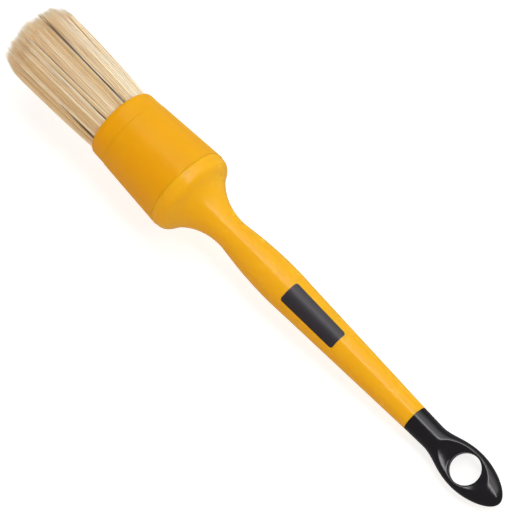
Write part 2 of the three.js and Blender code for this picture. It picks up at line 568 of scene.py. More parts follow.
@dataclass(frozen=True)
class StudioPaper(Finish):
    """Uncoated white paper, as it comes off the roll.

    The eye sees plain matt white with no shine. The glow stands for the lamps that a studio turns on its
    paper alone, so that shadows stay faint: it grows from near the brush to far from it, in metres.
    """

    ior: float = 1.3
    glow: float = 0.78
    far_glow: float = 1.0
    near_m: float = 0.4
    far_m: float = 1.6

    def surface(self, tree: bpy.types.NodeTree, place: bpy.types.NodeSocket) -> dict:
        """The paper's own brightness, which grows away from the brush.

        Args:
            tree: The material's node tree.
            place: The surface's coordinates, in metres.
        Returns:
            The inputs for the colour, the brightness and the reflection.
        """
        away = add_node(tree, "ShaderNodeVectorMath", {"operation": "LENGTH"}, {"Vector": place})
        glow = add_node(tree, "ShaderNodeMapRange", {"interpolation_type": "SMOOTHSTEP"}, {
            "Value": away.outputs["Value"], "From Min": self.near_m, "From Max": self.far_m,
            "To Min": self.glow, "To Max": self.far_glow})
        return {"Base Color": linear(self.colour), "Emission Color": linear(self.second_colour),
                "Emission Strength": glow.outputs["Result"], "Specular IOR Level": 0.0}


# ---------------------------------------------------------------------------------------------------------
# Pieces
# ---------------------------------------------------------------------------------------------------------


@dataclass
class Workshop:
    """Turns shapes into named pieces of the scene."""

    axes: BrushAxes
    crease: float = math.radians(35)

    def piece(self, name: str, shape: Shape, finish: Finish,
              creased: bool = True) -> bpy.types.Object:
        """Makes one piece, in place and dressed, that doesn't ride on anything yet.

        Args:
            name: The piece's name.
            shape: Its shape in the brush's frame.
            finish: Its finish.
            creased: Whether sharp edges stay sharp in the shading.
        Returns:
            The new object.
        """
        mesh = bpy.data.meshes.new(name)
        mesh.from_pydata(self.axes.carry(shape.points).tolist(), [], shape.faces)
        mesh.shade_smooth()
        if creased:
            mesh.set_sharp_from_angle(angle=self.crease)
        mesh.materials.append(finish.material())
        made = bpy.data.objects.new(name, mesh)
        bpy.context.scene.collection.objects.link(made)
        log.info("%s: %d points, %d faces", name, len(mesh.vertices), len(mesh.polygons))
        return made

    def fixed(self, made: bpy.types.Object, *nodes: str) -> None:
        """Lets a piece ride with the handle and stand for CAD nodes.

        Args:
            made: The piece.
            nodes: The CAD nodes, if any.
        """
        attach(made, Body.HANDLE.value)
        if nodes:
            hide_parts(*nodes)


@dataclass
class FerruleAssembly:
    """The collar at the mouth, and the sleeve that the handle's spigot goes into, in millimetres.

    The two outlines close on themselves inside their bores, at the starts given here.
    """

    facets: int = 256
    collar_start: float = 4.0
    sleeve_start: float = 12.5
    mouth_bore: float = 14.75
    mouth_edge: float = 0.12
    lip_curve: Curve = ((0.05, 14.95), (0.15, 15.6), (0.9, 15.98), (2.6, 16.02))
    lip_steps: int = 16
    collar_rear: tuple[float, float] = (8.0, 16.2)
    spigot_radius: float = 15.3
    spigot_end: float = 14.25
    sleeve_front: tuple[float, float] = (8.04, 16.4)
    sleeve_rear: tuple[float, float] = (38.3, 18.4)
    rim_thickness: float = 0.3
    counterbore: tuple[float, float] = (14.5, 15.55)
    bore_front: tuple[float, float] = (14.5, 15.05)
    bore_rear: tuple[float, float] = (36.6, 16.95)
    edge: float = 0.18
    finish: Finish = MouldedPolypropylene(
        "moulded_yellow_ferrule", "#E7A206", "#EBA80C", 0.4, reflection=0.15)

    def collar(self) -> Shape:
        """The band at the mouth, with its rounded lip and the spigot behind it.

        Returns:
            The collar's shape.
        """
        start = (self.collar_start, self.mouth_bore)
        front = rounded([(*start, 0), (0, self.mouth_bore, self.mouth_edge), (*self.lip_curve[0], 0)])
        rear = rounded([
            (*self.lip_curve[-1], 0), (*self.collar_rear, self.edge),
            (self.collar_rear[0], self.spigot_radius, 0), (self.spigot_end, self.spigot_radius, self.edge),
            (self.spigot_end, self.mouth_bore, self.edge), (*start, 0)])
        lip = bezier(self.lip_curve, self.lip_steps)
        return turned(dense(np.concatenate([front, lip[1:], rear[1:]])), self.facets)

    def sleeve(self) -> Shape:
        """The sleeve, which widens to the rear and ends in a thin rim.

        Returns:
            The sleeve's shape.
        """
        front, rear, step = self.sleeve_front, self.sleeve_rear, self.counterbore
        start = (self.sleeve_start, step[1], 0)
        return turned(dense(rounded([
            start, (front[0], step[1], 0), (*front, self.edge), (*rear, self.edge),
            (rear[0], rear[1] - self.rim_thickness, 0), (*self.bore_rear, 0), (*self.bore_front, 0),
            (*step, 0), start])), self.facets)

    def build(self, shop: Workshop) -> None:
        """Makes both pieces.

        Args:
            shop: The workshop that makes the pieces.
        """
        shop.fixed(shop.piece("ferrule_collar_moulding", self.collar(), self.finish),
                   "ferrule_collar")
        shop.fixed(shop.piece("ferrule_sleeve_moulding", self.sleeve(), self.finish), "ferrule")


@dataclass
class Handle:
    """The handle: a spigot, a shoulder with a bead, a flare, a neck, a swollen grip and a taper.

    The lip is the fine ridge behind the seam: its station, its height and how far it spreads.
    """

    facets: int = 224
    curve_steps: int = 48
    spigot_start: tuple[float, float] = (28.0, 15.96)
    spigot_rear: tuple[float, float] = (36.6, 16.7)
    seat: tuple[float, float] = (38.32, 18.2)
    lip: tuple[float, float, float] = (39.3, 0.27, 0.75)
    bead: Curve = ((38.35, 18.22), (42.3, 18.35), (43.5, 18.15), (45.5, 15.1))
    flare: Curve = ((45.5, 15.1), (47.55, 11.82), (54.3, 6.38), (64.6, 6.38))
    swell: Curve = ((64.6, 6.38), (68.0, 6.38), (76.5, 8.36), (93.0, 8.36))
    taper_start: Curve = ((93.0, 8.36), (96.0, 8.36), (100.0, 8.13), (105.0, 7.93))
    end: tuple[float, float] = (168.0, 5.58)
    tenon: tuple[float, float] = (178.0, 3.4)
    edge: float = 0.08
    panel_stations: tuple[float, float] = (99.2, 127.1)
    panel_half_angle: float = math.radians(34.5)
    panel_corner: float = 1.2
    panel_steps: tuple[int, int, int] = (41, 57, 49)
    ink_proud: float = 0.03
    finish: Finish = MouldedPolypropylene(
        "moulded_yellow_handle", "#EDAE10", "#F0B318", 0.25, reflection=0.3)
    ink: Finish = PrintedInk("pad_printed_ink", "#242028", "#2E2A33", 0.42, 1.5)

    def grip_outline(self) -> np.ndarray:
        """The visible outline from the seat behind the ferrule to the joint with the cap.

        Returns:
            One row of station and radius for each point.
        """
        drawn = (self.bead, self.flare, self.swell, self.taper_start)
        first, *others = (bezier(curve, self.curve_steps) for curve in drawn)
        outline = np.concatenate([[self.seat], first, *(points[1:] for points in others), [self.end]])
        crest, height, reach = self.lip
        outline[:, 1] += height * np.exp(-((outline[:, 0] - crest) / reach) ** 2)
        return outline

    def body(self) -> Shape:
        """The whole moulding, with its hidden spigot and tenon.

        Returns:
            The handle's shape.
        """
        start = [(self.spigot_start[0], 0), self.spigot_start, self.spigot_rear]
        tenon_end, tenon_radius = self.tenon
        tail = rounded([
            (*self.taper_start[-1], 0), (*self.end, self.edge), (self.end[0], tenon_radius, 0),
            (tenon_end, tenon_radius, self.edge), (tenon_end, 0, 0)])
        return turned(dense(np.concatenate([start, self.grip_outline()[:-1], tail[1:]])), self.facets)

    def panel(self) -> Shape:
        """A thin printed panel that lies on the grip, with rounded corners.

        Returns:
            The panel's shape.
        """
        first, last = self.panel_stations
        at_end, along, across = self.panel_steps
        ends = self.panel_corner * (1 - np.cos(np.linspace(0, math.pi, at_end))) / 2
        stations = np.unique(np.concatenate([first + ends, np.linspace(first, last, along), last - ends]))
        outline = self.grip_outline()
        radii = np.interp(stations, outline[:, 0], outline[:, 1])
        inset = np.maximum(self.panel_corner - np.minimum(stations - first, last - stations), 0)
        lost = self.panel_corner - np.sqrt(self.panel_corner**2 - inset**2)
        half_angles = self.panel_half_angle - lost / radii
        angles = half_angles[:, None] * np.linspace(-1, 1, across)
        layers = []
        for lift in (self.ink_proud, -self.ink_proud):
            radius = (radii + lift)[:, None]
            rows = np.broadcast_to(stations[:, None], angles.shape)
            layers.append(np.stack([rows, radius * np.sin(angles), radius * np.cos(angles)], -1))
        return slab(*layers)

    def build(self, shop: Workshop) -> None:
        """Makes the handle and the panel that is printed on it."""
        shop.fixed(shop.piece("handle_moulding", self.body(), self.finish), "handle")
        shop.fixed(shop.piece("printed_panel", self.panel(), self.ink))


def slab(top: np.ndarray, bottom: np.ndarray) -> Shape:
    """A closed thin shape between two grids of points.

    Args:
        top: The points of one face, as rows and columns.
        bottom: The points of the other, in the same order.
    Returns:
        The closed shape.
    """
    rows, columns = top.shape[:2]
    number = np.arange(rows * columns).reshape(rows, columns)
    quads = np.stack([number[:-1, :-1], number[1:, :-1], number[1:, 1:], number[:-1, 1:]], -1)
    quads = quads.reshape(-1, 4)
    rim = np.concatenate([number[0, :-1], number[:-1, -1], number[-1, :0:-1], number[:0:-1, 0]])
    after = np.roll(rim, -1)
    below = rows * columns
    walls = np.column_stack([rim, after, after + below, rim + below])
    faces = quads.tolist() + (quads[:, ::-1] + below).tolist() + walls.tolist()
    return Shape(np.concatenate([top.reshape(-1, 3), bottom.reshape(-1, 3)]), faces).outward()


@dataclass
class EndCap:
    """The black cap: a round shank that widens into an eye, with a scoop on each face and a hole through it.

    Its surface is where a field, close to the distance from it in millimetres, is zero. The ridge, the valley
    and the two edges are how far the rounding between two of the field's parts reaches. The least slopes keep
    the field steady where it is nearly flat.
    """

    front: float = 168.04
    stations: tuple[float, ...] = (168.0, 178.0, 184.0, 187.5, 196.6, 204.5, 214.3, 214.3)
    half_widths: tuple[float, ...] = (5.57, 5.31, 5.31, 8.7, 8.7, 8.7, 4.6, 0.0)
    half_thicknesses: tuple[float, ...] = (5.57, 5.31, 5.31, 5.4, 5.0, 4.6, 3.2, 0.0)
    socket: tuple[float, float] = (178.25, 3.65)
    eye_station: float = 195.9
    eye_radius: float = 6.35
    half_web: float = 2.2
    scoop_station: float = 195.25
    scoop_height: float = 8.0
    scoop_offset: float = 2.0
    scoop_radii: tuple[float, float, float] = (14.8, 15.6, 6.36)
    ridge: float = 0.7
    valley: float = 0.9
    hole_edge: float = 0.8
    joint_edge: float = 0.12
    least_slope: float = 2.0
    least_scoop_slope: float = 1e-3
    least_settling_slope: float = 0.1
    shank_steps: int = 50
    curve_steps: int = 400
    table_step: float = 0.02
    tip_steps: int = 5
    past_tip: float = 5.0
    half_room: tuple[float, float] = (9.4, 6.1)
    grid: float = 0.25
    finish: Finish = GlossAbs("moulded_black_abs", "#100E13", "#161319", 0.17)
    _table: tuple[np.ndarray, ...] = field(default=(), repr=False)

    def outline(self, radii: tuple[float, ...]) -> np.ndarray:
        """The station and radius of points along one of the cap's two outlines.

        Args:
            radii: The outline's distance from the cap's axis at each of its stations.
        Returns:
            One row of station and radius for each point.
        """
        corners = tuple(zip(self.stations, radii))
        shank = np.linspace(corners[0], corners[1], self.shank_steps)
        curves = [bezier(part, self.curve_steps)[1:] for part in (corners[1:5], corners[4:8])]
        return np.concatenate([shank, *curves])

    def tabulate(self) -> None:
        """Works out, for each station, the squared half-width and how much wider than thick the cap is.

        Past the tip the square goes on falling below zero at the rate that it has there.
        """
        wide, thick = self.outline(self.half_widths), self.outline(self.half_thicknesses)
        ratio = (wide[:-1, 1] / thick[:-1, 1]) ** 2
        stations = np.append(wide[:, 0], wide[-1, 0] + self.past_tip)
        tip, before = wide[-1], wide[-1 - self.tip_steps]
        fall = (tip[1] ** 2 - before[1] ** 2) / (tip[0] - before[0])
        squares = np.append(wide[:, 1] ** 2, self.past_tip * fall)
        ratios = np.append(ratio, [ratio[-1], ratio[-1]])
        even = np.arange(stations[0], stations[-1], self.table_step)
        square, ratio = np.interp(even, stations, squares), np.interp(even, stations, ratios)
        self._table = even, square, ratio, np.gradient(square, even), np.gradient(ratio, even)

    def blank(self, station: np.ndarray, side: np.ndarray, up: np.ndarray) -> np.ndarray:
        """The field of the cap before it is cut, whose sections are ellipses.

        Args:
            station: The points' stations.
            side: How far they are to the side.
            up: How far they are up.
        Returns:
            The field at each point.
        """
        even, *columns = self._table
        square, ratio, square_slope, ratio_slope = (np.interp(station, even, column) for column in columns)
        value = side**2 + ratio * up**2 - square
        slope = np.sqrt((ratio_slope * up**2 - square_slope) ** 2 + 4 * side**2 + 4 * (ratio * up) ** 2)
        return smooth_max(value / np.maximum(slope, self.least_slope), self.front - station, self.joint_edge)

    def scoop(self, station: np.ndarray, side: np.ndarray, up: np.ndarray) -> np.ndarray:
        """The field of the two scoops: each is where two leaning bowls overlap, down to the web.

        Args:
            station: The points' stations.
            side: How far they are to the side.
            up: How far they are up.
        Returns:
            The field at each point.
        """
        long, wide, deep = self.scoop_radii
        bowls = []
        for lean in (-self.scoop_offset, self.scoop_offset):
            offsets = [(station - self.scoop_station) / long, (side - lean) / wide,
                       (np.abs(up) - self.scoop_height) / deep]
            reach = np.sqrt(sum(offset**2 for offset in offsets))
            slope = np.sqrt(sum((offset / size) ** 2 for offset, size in zip(offsets, self.scoop_radii)))
            bowls.append(reach * (reach - 1) / np.maximum(slope, self.least_scoop_slope))
        return smooth_max(smooth_max(*bowls, self.valley), self.half_web - np.abs(up), self.valley)

    def value(self, points: np.ndarray) -> np.ndarray:
        """The cap's field at each of some points.

        Args:
            points: Rows of station, side and up.
        Returns:
            The field at each point: below zero inside the cap, and above zero outside.
        """
        station, side, up = points[..., 0], points[..., 1], points[..., 2]
        hole = np.hypot(station - self.eye_station, side) - self.eye_radius
        bored = np.maximum(np.hypot(side, up) - self.socket[1], station - self.socket[0])
        solid = smooth_max(self.blank(station, side, up), -self.scoop(station, side, up), self.ridge)
        return np.maximum(smooth_max(solid, -hole, self.hole_edge), -bored)

    def settle(self, points: np.ndarray, rounds: int = 4, nudge: float = 0.01) -> np.ndarray:
        """Moves points that are near the surface onto it.

        Args:
            points: The points.
            rounds: How many times to move them.
            nudge: The step that the field's slope is measured over, in millimetres.
        Returns:
            The moved points.
        """
        steps = np.eye(3) * nudge
        for _ in range(rounds):
            rises = [self.value(points + step) - self.value(points - step) for step in steps]
            slope = np.stack(rises, -1) / (2 * nudge)
            away = self.value(points) / np.maximum(np.sum(slope**2, -1), self.least_settling_slope)
            points = points - np.clip(away, -self.grid, self.grid)[:, None] * slope
        return points

    def body(self) -> Shape:
        """The cap's mesh, one point in each small cube of space that its surface goes through.

        Returns:
            The cap's shape.
        """
        self.tabulate()
        wide, thick = self.half_room
        low = np.array([self.front - 2 * self.grid, -wide, -thick])
        high = np.array([self.stations[-1] + 2 * self.grid, wide, thick])
        ticks = [np.arange(a, b + self.grid, self.grid) for a, b in zip(low, high)]
        places = np.stack(np.meshgrid(*ticks, indexing="ij"), -1)
        points, faces = wrapped(self.value(places), places)
        return Shape(self.settle(points), faces).outward()

    def build(self, shop: Workshop) -> None:
        """Makes the cap."""
        shop.fixed(shop.piece("cap_moulding", self.body(), self.finish), "end_cap")


def wrapped(values: np.ndarray, places: np.ndarray) -> tuple[np.ndarray, list[list[int]]]:
    """Wraps a mesh round the part of a grid where the values are below zero.

    Args:
        values: The field at each grid point.
        places: The grid points' places.
    Returns:
        The mesh's points, one for each grid cell that the surface crosses, and its faces.
    """
    inside = values < 0
    cells = tuple(n - 1 for n in values.shape)
    total, count = np.zeros((*cells, 3)), np.zeros(cells)
    halves = (slice(0, -1), slice(1, None))
    crossings = []
    for axis in range(3):
        near = tuple(slice(0, -1) if i == axis else slice(None) for i in range(3))
        far = tuple(slice(1, None) if i == axis else slice(None) for i in range(3))
        crossed = inside[near] != inside[far]
        gap = np.where(crossed, values[near] - values[far], 1.0)
        share = (values[near] / gap)[..., None]
        place = (places[near] + (places[far] - places[near]) * share) * crossed[..., None]
        for first in halves:
            for second in halves:
                part = [slice(None)] * 3
                part[(axis + 1) % 3], part[(axis + 2) % 3] = first, second
                total += place[tuple(part)]
                count += crossed[tuple(part)]
        crossings.append(crossed)
    used = count > 0
    number = np.full(cells, -1)
    number[used] = np.arange(used.sum())
    faces = []
    for axis, crossed in enumerate(crossings):
        edges = np.argwhere(crossed)
        across, over = np.eye(3, dtype=int)[(axis + 1) % 3], np.eye(3, dtype=int)[(axis + 2) % 3]
        around = ((1, 1), (0, 1), (0, 0), (1, 0))
        quads = np.column_stack([number[tuple((edges - a * across - b * over).T)] for a, b in around])
        facing_back = ~inside[tuple(edges.T)]
        quads[facing_back] = quads[facing_back, ::-1]
        faces += quads.tolist()
    return total[used] / count[used][:, None], faces


class HairTone(Enum):
    """The tones that undyed hog bristle comes in: a name, two colours, and a share of the hairs."""

    CREAM = ("cream", "#FFF4E2", "#FCEBCF", 0.36)
    STRAW = ("straw", "#F6DFB8", "#ECD0A0", 0.38)
    TAN = ("tan", "#DFC298", "#C6A478", 0.25)
    DARK = ("dark", "#5A4231", "#3C2B20", 0.01)


@dataclass(frozen=True)
class DarkStreak:
    """A few fine dark hairs that lie together near the bundle's surface.

    Angles are in degrees from straight up towards the side, at the root and at the tip. The scatters are how
    far apart the hairs lie there. The sink is how far their tips dive among the pale hairs, as a share of the
    bundle's radius.
    """

    hairs: int
    root_angle: float
    tip_angle: float
    root_scatter: float
    tip_scatter: float
    sink: float


@dataclass
class BristleBundle:
    """The bundle of hairs, set in the ferrule and spreading a little towards its domed, ragged end.

    A real hair is 0.1 to 0.2 mm thick, and it is drawn coarser so that single hairs can be seen. Behind the
    outer hairs a solid core stands for the middle of the bundle, where no hair can be told from another.
    Stations, radii and lengths are in millimetres. Places across the bundle are shares of its radius.
    """

    # The bundle's outline: how it spreads from the mouth, and how far its corner hairs fall short of the end.
    root_station: float = 3.0
    mouth_radius: float = 14.55
    spread: float = 0.041
    bulge: float = 0.35
    bulge_length: float = 3.0
    end_station: float = -53.4
    corner_start: float = 0.76
    corner_drop: float = 6.4
    corner_power: float = 2.3

    # The hairs. Those nearer the middle than full_length_from start only where they can be seen.
    hairs: int = 7200
    hair_jitter: float = 0.9
    full_length_from: float = 0.8
    inner_root: float = -36.0
    outer_steps: int = 11
    inner_steps: int = 4
    hair_radius: float = 0.17
    thinnest: float = 0.7
    thickest: float = 1.25
    thinning: float = 0.55

    # How the hairs gather in tufts, which lean and reach together.
    tufts: int = 150
    tuft_jitter: float = 0.6
    tuft_outness: float = 0.97
    tuft_pull: float = 0.2
    tuft_lean: float = 0.018
    tuft_reach: float = 0.35

    # How single hairs differ: uneven ends, a few short ones, a slow wave, and a few that stray outwards.
    uneven_ends: float = 0.7
    short_share: float = 0.12
    most_short_by: float = 5.0
    wave: float = 0.011
    wave_radians: float = 3.4
    stray_share: float = 0.02
    stray_reach: tuple[float, float] = (0.01, 0.05)

    # Their tones: how much a tuft shares one, how much each hair differs, and where the painted glow starts to
    # grow towards the tips.
    tuft_tint: float = 0.45
    hair_tint: float = 0.9
    painted_glow_from: float = -40.0
    roughness: float = 0.42

    # The dark hairs are thinner and get a weaker painted glow. A streak's hairs end shorter than the rest by a
    # mean and a spread, lie between two shares of the bundle's radius, and bow by a share of their tips' scatter.
    dark_thickness: float = 0.8
    dark_painted_glow: tuple[float, float] = (0.01, 0.04)
    streak_short_by: tuple[float, float] = (1.0, 2.0)
    streak_depth: tuple[float, float] = (0.99, 1.012)
    streak_bow: float = 0.5
    dark_streaks: tuple[DarkStreak, ...] = (
        DarkStreak(6, 25.5, 27.0, 0.35, 2.0, 0.02),
        DarkStreak(2, 27.5, 22.0, 1.0, 3.0, 0.04),
        DarkStreak(6, -56.0, -42.0, 1.2, 4.0, 0.16),
        DarkStreak(4, -12.0, -20.0, 1.0, 3.0, 0.08),
        DarkStreak(6, 152.0, 160.0, 0.8, 3.0, 0.06),
        DarkStreak(6, -118.0, -126.0, 0.8, 3.0, 0.12),
    )
    seed: int = 20

    # The core, whose root is its end's station, its waist's radius and its shoulder's station. Its dome is
    # drawn with a handle that is so long at the flank and so much of the radius at the top.
    core_share: float = 0.9
    core_end: float = -46.0
    core_dome: float = 3.0
    dome_handles: tuple[float, float] = (2.5, 0.6)
    core_steps: tuple[int, int] = (48, 12)
    core_facets: int = 96
    root: tuple[float, float, float] = (20.0, 13.2, 9.0)

    # Where the bundle's bend would start and end; no bend is made from them.
    still_until: float = -1.0
    free_from: float = -38.0

    def radius_at(self, station: np.ndarray) -> np.ndarray:
        """The bundle's radius at each of some stations in front of the mouth."""
        out = np.maximum(-station, 0)
        return self.mouth_radius + self.spread * out + self.bulge * (1 - np.exp(-out / self.bulge_length))

    def core(self) -> Shape:
        """The solid middle of the bundle, with its waist inside the ferrule.

        Returns:
            The core's shape.
        """
        root_end, waist, shoulder = self.root
        at_flank, at_top = self.dome_handles
        flank_steps, dome_steps = self.core_steps
        stations = np.linspace(0, self.core_end, flank_steps)
        radii = self.radius_at(stations) * self.core_share
        flank = np.column_stack([stations, radii])
        top = self.core_end - self.core_dome
        dome = bezier(((self.core_end, radii[-1]), (self.core_end - at_flank, radii[-1]),
                       (top, radii[-1] * at_top), (top, 0.0)), dome_steps)[1:]
        hidden = [(root_end, 0), (root_end, waist), (shoulder, waist), (shoulder, radii[0])]
        return turned(dense(np.concatenate([hidden, flank, dome])), self.core_facets)

    def sunflower(self, count: int, rng: np.random.Generator, jitter: float) -> np.ndarray:
        """Even places over a disc of radius 1.

        Args:
            count: How many places.
            rng: The source of the jitter.
            jitter: How far to move each place, as a share of the distance between them.
        Returns:
            One row of side and up for each place.
        """
        order = np.arange(count) + 0.5
        angle = order * math.pi * (3 - math.sqrt(5))
        reach = np.sqrt(order / count)
        places = np.column_stack([reach * np.cos(angle), reach * np.sin(angle)])
        places += rng.normal(0, jitter / math.sqrt(count), places.shape)
        return places / np.maximum(np.linalg.norm(places, axis=1), 1)[:, None]

    def strands(self) -> dict[HairTone, Shape]:
        """All the hairs, sorted into one shape for each tone.

        Returns:
            The hairs of each tone.
        """
        rng = np.random.default_rng(self.seed)
        places = self.sunflower(self.hairs, rng, self.hair_jitter)
        centres = self.sunflower(self.tufts, rng, self.tuft_jitter) * self.tuft_outness
        tuft = np.argmin(((places[:, None] - centres[None]) ** 2).sum(-1), axis=1)
        tuft_tone = rng.normal(0, 1, self.tufts)
        tuft_reach = rng.normal(0, self.tuft_reach, self.tufts)
        tuft_lean = rng.normal(0, self.tuft_lean, (self.tufts, 2))
        outness = np.linalg.norm(places, axis=1)
        corner = np.clip((outness - self.corner_start) / (1 - self.corner_start), 0, 1) ** self.corner_power
        uneven = np.abs(rng.normal(0, self.uneven_ends, self.hairs))
        short = (rng.random(self.hairs) < self.short_share) * rng.uniform(0, self.most_short_by, self.hairs)
        tips = self.end_station + self.corner_drop * corner + tuft_reach[tuft] + (uneven + short)
        wave = rng.normal(0, self.wave, (self.hairs, 2))
        phase = rng.uniform(0, 2 * math.pi, self.hairs)
        stray = (rng.random(self.hairs) < self.stray_share) * rng.uniform(*self.stray_reach, self.hairs)
        mixed = self.tuft_tint * tuft_tone[tuft] + rng.normal(0, self.hair_tint, self.hairs)
        tone = self.sort_tones(mixed, rng.random(self.hairs))
        outer = outness > self.full_length_from
        shapes = {}
        for member, kind in enumerate(HairTone):
            bundles = []
            for chosen, start, steps in ((outer, self.root_station, self.outer_steps),
                                         (~outer, self.inner_root, self.inner_steps)):
                picked = np.flatnonzero((tone == member) & chosen)
                share = np.linspace(0, 1, steps + 1)[None, :]
                station = start + (tips[picked, None] - start) * share
                free = np.clip(station / self.end_station, 0, 1)
                pull = self.tuft_pull * free**2
                home, centre = places[picked][:, None], centres[tuft[picked]][:, None]
                place = home + (centre - home) * pull[..., None]
                place = place + tuft_lean[tuft[picked]][:, None] * (free**1.5)[..., None]
                swing = np.sin(self.wave_radians * free + phase[picked, None]) * free
                place = place + wave[picked][:, None] * swing[..., None]
                place = place * (1 + stray[picked, None, None] * free[..., None] ** 2)
                spine = np.concatenate([station[..., None], place * self.radius_at(station)[..., None]], -1)
                bundles.append(self.tubes(spine, rng))
            shapes[kind] = joined(bundles)
        streaks = [self.tubes(self.streak_spine(streak, rng), rng, self.dark_thickness)
                   for streak in self.dark_streaks]
        shapes[HairTone.DARK] = joined([shapes[HairTone.DARK], *streaks])
        return shapes

    def streak_spine(self, streak: DarkStreak, rng: np.random.Generator) -> np.ndarray:
        """The middle lines of a streak's hairs.

        Args:
            streak: The streak.
            rng: The source of the hairs' places in it.
        Returns:
            For each hair and each step along it, the place of its middle.
        """
        free = np.linspace(0, 1, self.outer_steps + 1)[None, :]
        last = self.end_station + np.abs(rng.normal(*self.streak_short_by, streak.hairs))
        station = self.root_station + (last[:, None] - self.root_station) * free
        angle = streak.root_angle + (streak.tip_angle - streak.root_angle) * free
        scatter = [streak.root_scatter, streak.tip_scatter, self.streak_bow * streak.tip_scatter]
        blend = np.vstack([1 - free, free, free * np.sin(2 * math.pi * free)])
        offset = rng.normal(0, scatter, (streak.hairs, 3)) @ blend
        angle = np.radians(angle + offset)
        radius = self.radius_at(station) * rng.uniform(*self.streak_depth, (streak.hairs, 1))
        radius = radius * (1 - streak.sink * free**2)
        return np.stack([station, radius * np.sin(angle), radius * np.cos(angle)], -1)

    def sort_tones(self, tone: np.ndarray, chance: np.ndarray) -> np.ndarray:
        """Gives each hair a tone's number.

        Args:
            tone: How dark each hair is, on any scale.
            chance: An even random number for each hair, which picks the few dark ones.
        Returns:
            The number of each hair's tone, in the order of HairTone.
        """
        *pale, dark = (kind.value[3] for kind in HairTone)
        limits = np.quantile(tone, np.cumsum(pale)[:-1] / (1 - dark))
        return np.where(chance < dark, len(HairTone) - 1, np.searchsorted(limits, tone))

    def tubes(self, spine: np.ndarray, rng: np.random.Generator, thickness: float = 1.0) -> Shape:
        """Three-sided hairs along their middle lines, each closed at its root and drawn to a point.

        Args:
            spine: For each hair and each step along it, the place of its middle.
            rng: The source of the hairs' turns and thicknesses.
            thickness: How thick they are, as a share of the usual thickness.
        Returns:
            One shape that holds all of them.
        """
        count, steps = spine.shape[0], spine.shape[1] - 1
        share = np.linspace(0, 1, steps + 1)[:-1]
        radius = rng.uniform(self.thinnest, self.thickest, count)[:, None] * (1 - self.thinning * share**2)
        radius = radius * self.hair_radius * thickness
        turn = rng.uniform(0, 2 * math.pi, count)
        angles = turn[:, None] + np.arange(3) * 2 * math.pi / 3
        spokes = np.stack([np.zeros_like(angles), np.cos(angles), np.sin(angles)], -1)
        rings = spine[:, :-1, None] + radius[..., None, None] * spokes[:, None]
        points = np.concatenate([rings.reshape(count, -1, 3), spine[:, -1:]], axis=1)
        per_hair = points.shape[1]
        first = np.arange(count)[:, None] * per_hair
        faces = []
        for step in range(steps - 1):
            for side in range(3):
                low, high = 3 * step + side, 3 * step + (side + 1) % 3
                faces.append(first + [low, high, high + 3, low + 3])
        quads = np.concatenate(faces).tolist()
        last = 3 * (steps - 1)
        point = [first + [last + side, last + (side + 1) % 3, per_hair - 1] for side in range(3)]
        triangles = np.concatenate([first + [2, 1, 0], *point]).tolist()
        return Shape(points.reshape(-1, 3), quads + triangles)

    def build(self, shop: Workshop) -> None:
        """Makes the core and the hairs.

        Args:
            shop: The workshop that makes the pieces.
        """
        dip = shop.axes.dip
        # The hairs' painted glow grows between these two places along X.
        tips = (shop.axes.at(self.painted_glow_from).x, shop.axes.at(self.end_station).x)
        core_finish = HogBristle("bristle_core", "#DDBF92", "#C4A274", 0.6, dip=dip, tips=tips)
        core = shop.piece("bristle_core", self.core(), core_finish)
        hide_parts("bristle_root", "bristle_tips")
        pieces = [core]
        for tone, shape in self.strands().items():
            name, colour, second, _ = tone.value
            finish = HogBristle(f"hog_bristle_{name}", colour, second, self.roughness, dip=dip, tips=tips)
            if tone is HairTone.DARK:
                finish = replace(finish, painted_glow=self.dark_painted_glow)
            made = shop.piece(f"bristles_{name}", shape.outward(), finish, creased=False)
            pieces.append(made)
        for made in pieces:
            shop.axes.at(self.still_until)
            shop.axes.at(self.free_from)
            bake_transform(made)


def joined(shapes: list[Shape]) -> Shape:
    """Several shapes as one.

    Args:
        shapes: The shapes.
    Returns:
        One shape with the points and the faces of all of them.
    """
    faces, start = [], 0
    for shape in shapes:
        faces += [[number + start for number in face] for face in shape.faces]
        start += len(shape.points)
    return Shape(np.concatenate([shape.points for shape in shapes]), faces)


@dataclass
class HiddenFixings:
    """What holds the bundle inside the ferrule: the CAD model's own pieces, with finishes."""

    band: Finish = RubberBand("cut_rubber_band", "#3A322C", "#2C2622", 0.7)
    resin: Finish = CastEpoxy("cast_epoxy", "#A97C3E", "#C49A58", 0.25)

    def build(self) -> None:
        """Dresses the CAD model's hidden pieces."""
        for node, finish in (("root_band", self.band), ("resin_plug", self.resin)):
            made = frame["nodes"][node]
            made.data.materials.clear()
            made.data.materials.append(finish.material())
            log.info("%s: dressed", node)


# ---------------------------------------------------------------------------------------------------------
# Studio
# ---------------------------------------------------------------------------------------------------------


